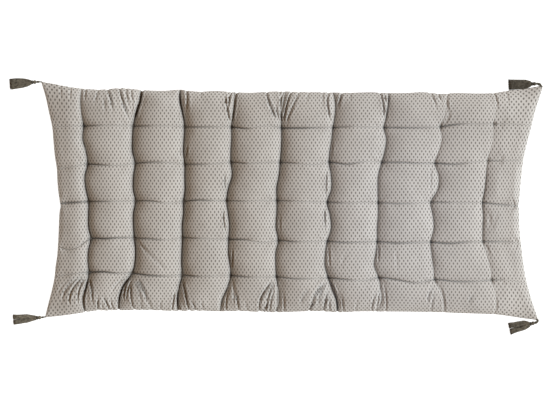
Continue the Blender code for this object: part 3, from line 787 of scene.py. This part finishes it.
def cloth_material():
    material, tree, shader = new_material("printed_cotton_look", 0.92)
    uv = add_node(tree, "ShaderNodeUVMap", uv_map="fabric").outputs[0]
    uneven = noise(tree, uv, 120.0, 2.0)["Color"]
    lean = vector_math(tree, "SCALE", vector_math(tree, "SUBTRACT", uneven, (0.5, 0.5, 0.5)), PRINT_LEAN)
    drift = vector_math(tree, "SCALE", noise(tree, uv, 5.0, 1.0)["Color"], PRINT_DRIFT)
    spot = vector_math(tree, "ADD", uv, vector_math(tree, "ADD", drift, lean))
    spot = vector_math(tree, "DIVIDE", spot, (*DOT_REPEAT, 1.0))
    first, second = (dot_distance(tree, spot, shift) for shift in (0.0, 0.5))
    nearest = add_node(tree, "ShaderNodeMath", {0: first, 1: second}, operation="MINIMUM").outputs[0]
    dots = ranged(tree, nearest, DOT_RIM, (1.0, 0.0), interpolation_type="SMOOTHSTEP")
    # Random tone of the cloth, up to 5 per cent either way, which the painted shade below then darkens.
    tone_and_painted_shade = ranged(tree, noise(tree, uv, 9.0, 3.0)[0], (0.3, 0.7), (0.95, 1.05))
    colour = add_node(tree, "ShaderNodeMix", {0: dots}, data_type="RGBA")
    colour.inputs[6].default_value = (*GROUND_COLOUR, 1.0)
    colour.inputs[7].default_value = (*DOT_COLOUR, 1.0)
    # Painted shade: the colour is darkened where the cloth lies deep in a fold, crease or tuft.
    painted_shade = add_node(tree, "ShaderNodeAttribute", attribute_name="painted_shade").outputs["Fac"]
    painted_dim = ranged(tree, painted_shade, (0.0, 1.0), (1.0, 1 - PAINTED_SHADE_DARK))
    tone_and_painted_shade = add_node(tree, "ShaderNodeMath", {0: tone_and_painted_shade, 1: painted_dim}, operation="MULTIPLY").outputs[0]
    tree.links.new(vector_math(tree, "SCALE", colour.outputs[2], tone_and_painted_shade), shader.inputs["Base Color"])
    weave, soft = noise(tree, uv, 900.0, 1.0)[0], noise(tree, uv, 42.0, 2.0)[0]
    rough = add_node(tree, "ShaderNodeBump", {"Strength": 0.35, "Distance": 0.0004, "Height": weave})
    inputs = {"Strength": 0.35, "Distance": 0.0035, "Height": soft, "Normal": rough.outputs[0]}
    bump = add_node(tree, "ShaderNodeBump", inputs)
    tree.links.new(bump.outputs[0], shader.inputs["Normal"])
    return material


def yarn_material(name, colour, grain):
    """Spun yarn: fine light and dark fibres."""
    material, tree, shader = new_material(name, 0.88)
    place = add_node(tree, "ShaderNodeTexCoord").outputs["Object"]
    fibres = noise(tree, place, grain, 3.0)[0]
    ramp = ranged(tree, fibres, (0.3, 0.7), (0.55, 1.45))
    base = add_node(tree, "ShaderNodeRGB")
    base.outputs[0].default_value = (*colour, 1.0)
    tree.links.new(vector_math(tree, "SCALE", base.outputs[0], ramp), shader.inputs["Base Color"])
    bump = add_node(tree, "ShaderNodeBump", {"Strength": 0.4, "Distance": 0.0003, "Height": fibres})
    tree.links.new(bump.outputs[0], shader.inputs["Normal"])
    return material


# The tassels, in millimetres and degrees: where the ball is and the skirt points, its length from the ball's
# middle, its width at the cut end, and the gap in the middle of the cut end
TASSEL_SIZES = ("ball", "heading", "length", "width", "parting", "tone", "shoulder", "seed")
TASSELS = {
    "top_left": ((-925.6, 476.5), 184.0, 98.0, 43.0, 0, 1.15, 1.0, 1),
    "bottom_left": ((-907.0, -429.7), 184.7, 103.5, 37.5, 3, 1.48, 0.95, 2),
    "top_right": ((997.4, 469.8), 181.8, 100.0, 41.0, 0, 0.78, 1.20, 3),
    "bottom_right": ((992.0, -451.8), 193.4, 94.0, 43.5, 4, 1.18, 1.16, 4),
}

# Each cord from the corner seam to the ball: X, Y and radius in millimetres, thickest where it is knotted
CORDS = {
    "top_left": (
        (-897.5, 477.0, 2.6), (-907.0, 477.6, 2.6), (-912.5, 477.4, 4.6),
        (-918.1, 477.0, 3.0),
    ),
    "bottom_left": (
        (-882.5, -427.0, 2.6), (-890.0, -427.8, 2.6), (-895.0, -428.7, 4.2),
        (-899.5, -429.1, 3.0),
    ),
    "top_right": (
        (1024.2, 455.5, 3.2), (1023.0, 462.0, 3.8), (1016.8, 467.8, 6.0),
        (1010.5, 470.2, 4.4), (1004.9, 470.2, 4.2),
    ),
    "bottom_right": (
        (1004.5, -436.5, 3.4), (1010.0, -439.6, 4.2), (1009.0, -445.4, 4.4),
        (1003.8, -448.8, 5.4), (999.3, -450.0, 4.4),
    ),
}
YARN_COLOUR = (0.128, 0.116, 0.090)
AXIS_HEIGHT = 0.0076
BALL_RADIUS = 0.0074
THREAD_RADIUS = 0.00062
THREAD_SIDES = 5

# The ball's threads: how many, their unevenness, and their swing from pole to pole as shares of half a turn
BALL_THREADS = 44
BALL_UNEVEN = 0.03
BALL_STEPS = 10
BALL_FROM = 0.04
BALL_SWING = 0.80
CORE_FROM = 0.05
CORE_TO = 0.85
CORE_STEPS = 12
CORE_SIDES = 12
CORE_GAP = 0.0006

# The neck: its core's radius and end, and the threads' half width and height where they start, leave and end
NECK_RADIUS = 0.0060
NECK_CORE_END = 0.0125
NECK_PLACES = (0.0085, 0.0125, 0.0165)
NECK_WIDTHS = (0.0049, 0.0064, 0.0094)
NECK_HEIGHTS = (0.0049, 0.0049, 0.0052)
NECK_ROUND = 0.6

# The skirt: its threads, three places along it with their shares of its width, and its heights there and at
# the tip
SKIRT_WIDE = 33
SKIRT_HIGH = 6
SKIRT_POINTS = 13
SKIRT_FROM = 0.016
SKIRT_SHARES = (0.18, 0.38, 0.70)
SKIRT_WIDTHS = (0.70, 0.88, 0.96)
SKIRT_HEIGHTS = (0.0104, 0.0108, 0.0090, 0.0070)
SKIRT_ROUND = 0.55
SKIRT_NARROWING = 0.16
PARTING_SHARE = 0.3
VALLEY_DEPTH = 0.75
VALLEY_WIDTH = 0.16

# How unevenly the skirt's threads lie, and how many of them are cut short
SKIRT_UNEVEN = 0.35
SKIRT_SWAY = 0.0009
SKIRT_DRIFT = 0.0016
TIP_UNEVEN = 0.0022
TIP_SHORT = 0.004
TIP_SHORT_SHARE = 0.06

# The binding round the neck
WRAP_FROM = 0.0072
WRAP_TO = 0.0112
WRAP_TURNS = 6
WRAP_STEPS = 20
WRAP_OUT = 0.0009
WRAP_BULGE = 0.0003
WRAP_THREAD = 0.00036

# The cords' strands and knots. CORD_THICKEST and KNOT_RADIUS are in millimetres, like the table of cords.
CORD_STEPS = 14
CORD_THICKEST = 4.4
STRANDS = 3
STRAND_TWIST = 0.0075
STRAND_REACH = 0.50
STRAND_RADIUS = 0.52
STRAND_SIDES = 7
KNOT_STEPS = 60
KNOT_BULGE = 0.18
KNOT_RADIUS = 4.5
KNOT_THREAD = 0.0016
KNOT_LENGTH = 0.0070
KNOT_TURNS = 2.6


def directions(line):
    """The line's direction at each of its points."""
    ahead = np.gradient(line, axis=0)
    return ahead / np.linalg.norm(ahead, axis=1, keepdims=True)


class Threads:
    """Collects round threads into one mesh."""

    def __init__(self):
        self.points, self.faces = [], []

    def add(self, line, radii, sides):
        line = np.asarray(line, float)
        ahead = directions(line)
        across = np.cross(ahead[0], (0.0, 0.0, 1.0))
        if np.linalg.norm(across) < 0.2:
            across = np.cross(ahead[0], (0.0, 1.0, 0.0))
        base = len(self.points)
        turns = math.tau * np.arange(sides) / sides
        for point, way, radius in zip(line, ahead, np.broadcast_to(radii, len(line))):
            across = across - way * across.dot(way)
            across /= np.linalg.norm(across)
            beside = np.cross(way, across)
            for turn in turns:
                self.points.append(point + radius * (math.cos(turn) * across + math.sin(turn) * beside))
        for step in range(len(line) - 1):
            for side in range(sides):
                after = (side + 1) % sides
                low, high = base + step * sides, base + (step + 1) * sides
                self.faces.append((low + side, low + after, high + after, high + side))
        last = base + (len(line) - 1) * sides
        self.faces.append(tuple(base + side for side in reversed(range(sides))))
        self.faces.append(tuple(last + side for side in range(sides)))

    def build(self, name, size=None):
        points = np.array(self.points)
        if size is not None:
            turn = math.radians(size["heading"])
            ahead, beside = points[:, 0].copy(), points[:, 1].copy()
            points[:, 0] = size["ball"][0] * MM + ahead * math.cos(turn) - beside * math.sin(turn)
            points[:, 1] = size["ball"][1] * MM + ahead * math.sin(turn) + beside * math.cos(turn)
            points[:, 2] += AXIS_HEIGHT
        return add_mesh(name, points, self.faces)


def add_ball(threads, draw):
    """Yarn laid from pole to pole over a core that reaches into the neck."""
    core = BALL_RADIUS - 1.2 * THREAD_RADIUS
    for step in range(BALL_THREADS):
        turn = math.tau * step / BALL_THREADS + draw.uniform(-BALL_UNEVEN, BALL_UNEVEN)
        line = []
        for part in range(BALL_STEPS + 1):
            swing = math.pi * (BALL_FROM + BALL_SWING * part / BALL_STEPS)
            radius = core * math.sin(swing)
            line.append((-core * math.cos(swing), radius * math.cos(turn), radius * math.sin(turn)))
        line.append((WRAP_FROM + 0.0005, NECK_RADIUS * math.cos(turn), NECK_RADIUS * math.sin(turn)))
        threads.add(line, 1.15 * THREAD_RADIUS, THREAD_SIDES)
    swings = np.linspace(CORE_FROM, math.pi * CORE_TO, CORE_STEPS)
    line = [(-core * math.cos(swing), 0.0, 0.0) for swing in swings]
    radii = [core * math.sin(swing) for swing in swings]
    threads.add(line + [(NECK_CORE_END, 0.0, 0.0)], radii + [NECK_RADIUS - CORE_GAP], CORE_SIDES)


def skirt_thread(size, draw, across, up, radius):
    """One thread: three points through the neck, three along the skirt as it settles, and its tip."""
    level = up / (SKIRT_HIGH - 1)
    lift = 2 * level - 1
    side = (across + 0.5 + draw.uniform(-SKIRT_UNEVEN, SKIRT_UNEVEN)) / SKIRT_WIDE * 2 - 1
    round_off = math.sqrt(max(0.0, 1 - SKIRT_ROUND * side * side))
    parting = size["parting"] * MM / 2 * math.copysign(1.0, side)
    valley = 1 - (VALLEY_DEPTH * math.exp(-((side / VALLEY_WIDTH) ** 2)) if size["parting"] else 0.0)
    sway = draw.uniform(-SKIRT_SWAY, SKIRT_SWAY)
    drift = draw.uniform(-SKIRT_DRIFT, SKIRT_DRIFT)
    length = size["length"] * MM
    tip = length - draw.uniform(0.0, TIP_UNEVEN) - (TIP_SHORT if draw.random() < TIP_SHORT_SHARE else 0.0)

    skirt = length - SKIRT_FROM
    spread = size["width"] * MM / 2 * side * (1.0 - SKIRT_NARROWING * level)
    lowest = radius - AXIS_HEIGHT
    thick = level * valley
    widths = (math.sqrt(1 - NECK_ROUND * lift * lift), 1.0, size["shoulder"])
    in_neck = [half_width * side * share for half_width, share in zip(NECK_WIDTHS, widths)]
    places = [SKIRT_FROM + share * skirt for share in SKIRT_SHARES]
    wide = [share * spread for share in SKIRT_WIDTHS]
    high = [height * round_off for height in SKIRT_HEIGHTS]
    return [
        *zip(NECK_PLACES, in_neck, [height * lift * round_off for height in NECK_HEIGHTS]),
        (places[0], size["shoulder"] * wide[0], lowest + level * (high[0] - radius)),
        (places[1], wide[1] + sway, lowest + thick * (high[1] - radius)),
        (places[2], wide[2] - sway + PARTING_SHARE * parting, lowest + thick * high[2]),
        (tip, spread + drift + parting, lowest + thick * high[3]),
    ]


def make_tassel(corner, size, material):
    """A ball of yarn, and a skirt of threads that leave the neck and lie on the floor."""
    draw = random.Random(size["seed"])
    threads = Threads()
    add_ball(threads, draw)
    radius = 1.08 * THREAD_RADIUS
    for up in range(SKIRT_HIGH):
        for across in range(SKIRT_WIDE):
            line = np.array(skirt_thread(size, draw, across, up, radius)).T
            smooth = smooth_curves(line, np.linspace(0, line.shape[1] - 1, SKIRT_POINTS)).T
            smooth[:, 2] = np.maximum(smooth[:, 2], radius - AXIS_HEIGHT)
            threads.add(smooth, radius, THREAD_SIDES)
    item = threads.build("yarn_" + corner, size)
    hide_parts("tassel_" + corner)
    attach(item, "root")
    item.data.materials.append(material)


def make_wrap(corner, size, material):
    """The thread that is wound round the neck."""
    threads = Threads()
    steps = WRAP_TURNS * WRAP_STEPS
    line = []
    for step in range(steps + 1):
        turn = math.tau * WRAP_TURNS * step / steps
        along = WRAP_FROM + (WRAP_TO - WRAP_FROM) * step / steps
        radius = NECK_RADIUS + WRAP_OUT + WRAP_BULGE * math.sin(math.pi * step / steps)
        line.append((along, radius * math.cos(turn), radius * math.sin(turn)))
    threads.add(line, WRAP_THREAD, 6)
    item = threads.build("wrap_" + corner, size)
    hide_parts("binding_" + corner)
    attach(item, "root")
    item.data.materials.append(material)


def make_cord(corner, points, material):
    """A cord of three twisted strands, with a coil where it is knotted."""
    threads = Threads()
    count = CORD_STEPS * (len(points) - 1) + 1
    x, y, thick = smooth_curves(np.array(points).T, np.linspace(0, len(points) - 1, count))
    line = np.stack([x * MM, y * MM, np.full(count, AXIS_HEIGHT)], axis=-1)
    slim = np.minimum(thick, CORD_THICKEST) * MM
    ahead = directions(line)
    beside = np.cross(ahead, (0.0, 0.0, 1.0))
    way = np.concatenate([[0.0], np.cumsum(np.linalg.norm(np.diff(line, axis=0), axis=1))])
    for strand in range(STRANDS):
        turn = math.tau * (way / STRAND_TWIST + strand / STRANDS)
        reach = STRAND_REACH * slim
        path = line + beside * (reach * np.cos(turn))[:, None]
        path[:, 2] += reach * np.sin(turn)
        threads.add(path, STRAND_RADIUS * slim, STRAND_SIDES)
    knot = int(np.argmax(thick))
    if thick[knot] > KNOT_RADIUS:
        radius = thick[knot] * MM - KNOT_THREAD
        coil = []
        for step in range(KNOT_STEPS + 1):
            turn = math.tau * KNOT_TURNS * step / KNOT_STEPS
            out = radius * (1 - KNOT_BULGE + KNOT_BULGE * math.sin(math.pi * step / KNOT_STEPS))
            centre = line[knot] + ahead[knot] * (step / KNOT_STEPS - 0.5) * KNOT_LENGTH
            coil.append(centre + beside[knot] * out * math.cos(turn) + np.array((0, 0, out * math.sin(turn))))
        threads.add(coil, KNOT_THREAD, STRAND_SIDES)
    item = threads.build("twist_" + corner)
    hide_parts("cord_" + corner)
    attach(item, "root")
    item.data.materials.append(material)


# Radius and height of the rings of a round floor, which turns up at its rim to fill low views too. Its glow
# hides the mattress's shadow, which the photo doesn't show.
FLOOR_RINGS = ((0.5, 0.0), (20.0, 0.0), (21.5, 0.15), (23.0, 0.7), (24.2, 2.0), (24.8, 3.6), (25.0, 5.5))
FLOOR_SIDES = 64
FLOOR_GLOW = 1.0


def make_floor():
    points, faces = [], [tuple(range(FLOOR_SIDES))]
    for radius, height in FLOOR_RINGS:
        for side in range(FLOOR_SIDES):
            turn = math.tau * side / FLOOR_SIDES
            points.append((radius * math.cos(turn), radius * math.sin(turn), height))
    for ring in range(len(FLOOR_RINGS) - 1):
        for side in range(FLOOR_SIDES):
            after = (side + 1) % FLOOR_SIDES
            inner, outer = ring * FLOOR_SIDES, (ring + 1) * FLOOR_SIDES
            faces.append((inner + side, outer + side, outer + after, inner + after))
    floor = add_mesh("floor", points, faces)
    material, _, shader = new_material("floor_paint", 1.0)
    shader.inputs["Base Color"].default_value = (0.3, 0.3, 0.3, 1)
    shader.inputs["Specular IOR Level"].default_value = 0.0
    shader.inputs["Emission Color"].default_value = (1.0, 1.0, 1.0, 1)
    shader.inputs["Emission Strength"].default_value = FLOOR_GLOW
    floor.data.materials.append(material)


def make_light():
    """A wide key light from the right, a weak cool lamp over the right half, and a warm fill all round."""
    world = bpy.data.worlds.new("studio")
    world.use_nodes = True
    back = world.node_tree.nodes["Background"]
    back.inputs["Color"].default_value = (1.0, 0.61, 0.31, 1)
    back.inputs["Strength"].default_value = 0.260
    bpy.context.scene.world = world
    key = bpy.data.lights.new("key", "SUN")
    key.energy = 3.27
    key.angle = math.radians(24)
    key.color = (0.910, 0.980, 1.045)
    lamp = add_object("key", key)
    lamp.rotation_euler = Vector((1.0, 0.08, 0.94)).to_track_quat("Z", "Y").to_euler()
    side = bpy.data.lights.new("side", "AREA")
    side.shape = "RECTANGLE"
    side.size = 0.5
    side.size_y = 0.9
    side.spread = math.radians(30)
    side.energy = 0.35
    side.color = (0.78, 0.94, 1.26)
    side_lamp = add_object("side", side)
    side_lamp.location = (0.5, -0.05, 2.2)
    bpy.context.scene.view_settings.view_transform = "Standard"


def make_camera():
    camera = bpy.data.cameras.new("camera")
    camera.sensor_width = SENSOR_WIDTH
    camera.lens = SENSOR_WIDTH * (CAMERA_HEIGHT - SEAM_HEIGHT) / (PHOTO_PIXELS_WIDE * PIXEL)
    item = add_object("camera", camera)
    item.location = (*VIEW_CENTRE, CAMERA_HEIGHT)
    bpy.context.scene.camera = item


make_camera()
make_floor()
make_light()
make_mattress()
cord_yarn = yarn_material("tassel_cord_look", (0.105, 0.097, 0.072), 600.0)
thread = yarn_material("binding_thread_look", (0.070, 0.065, 0.050), 800.0)
for corner, values in TASSELS.items():
    size = dict(zip(TASSEL_SIZES, values))
    colour = [size["tone"] * share for share in YARN_COLOUR]
    make_tassel(corner, size, yarn_material("yarn_look_" + corner, colour, 130.0))
    make_wrap(corner, size, thread)
    make_cord(corner, CORDS[corner], cord_yarn)
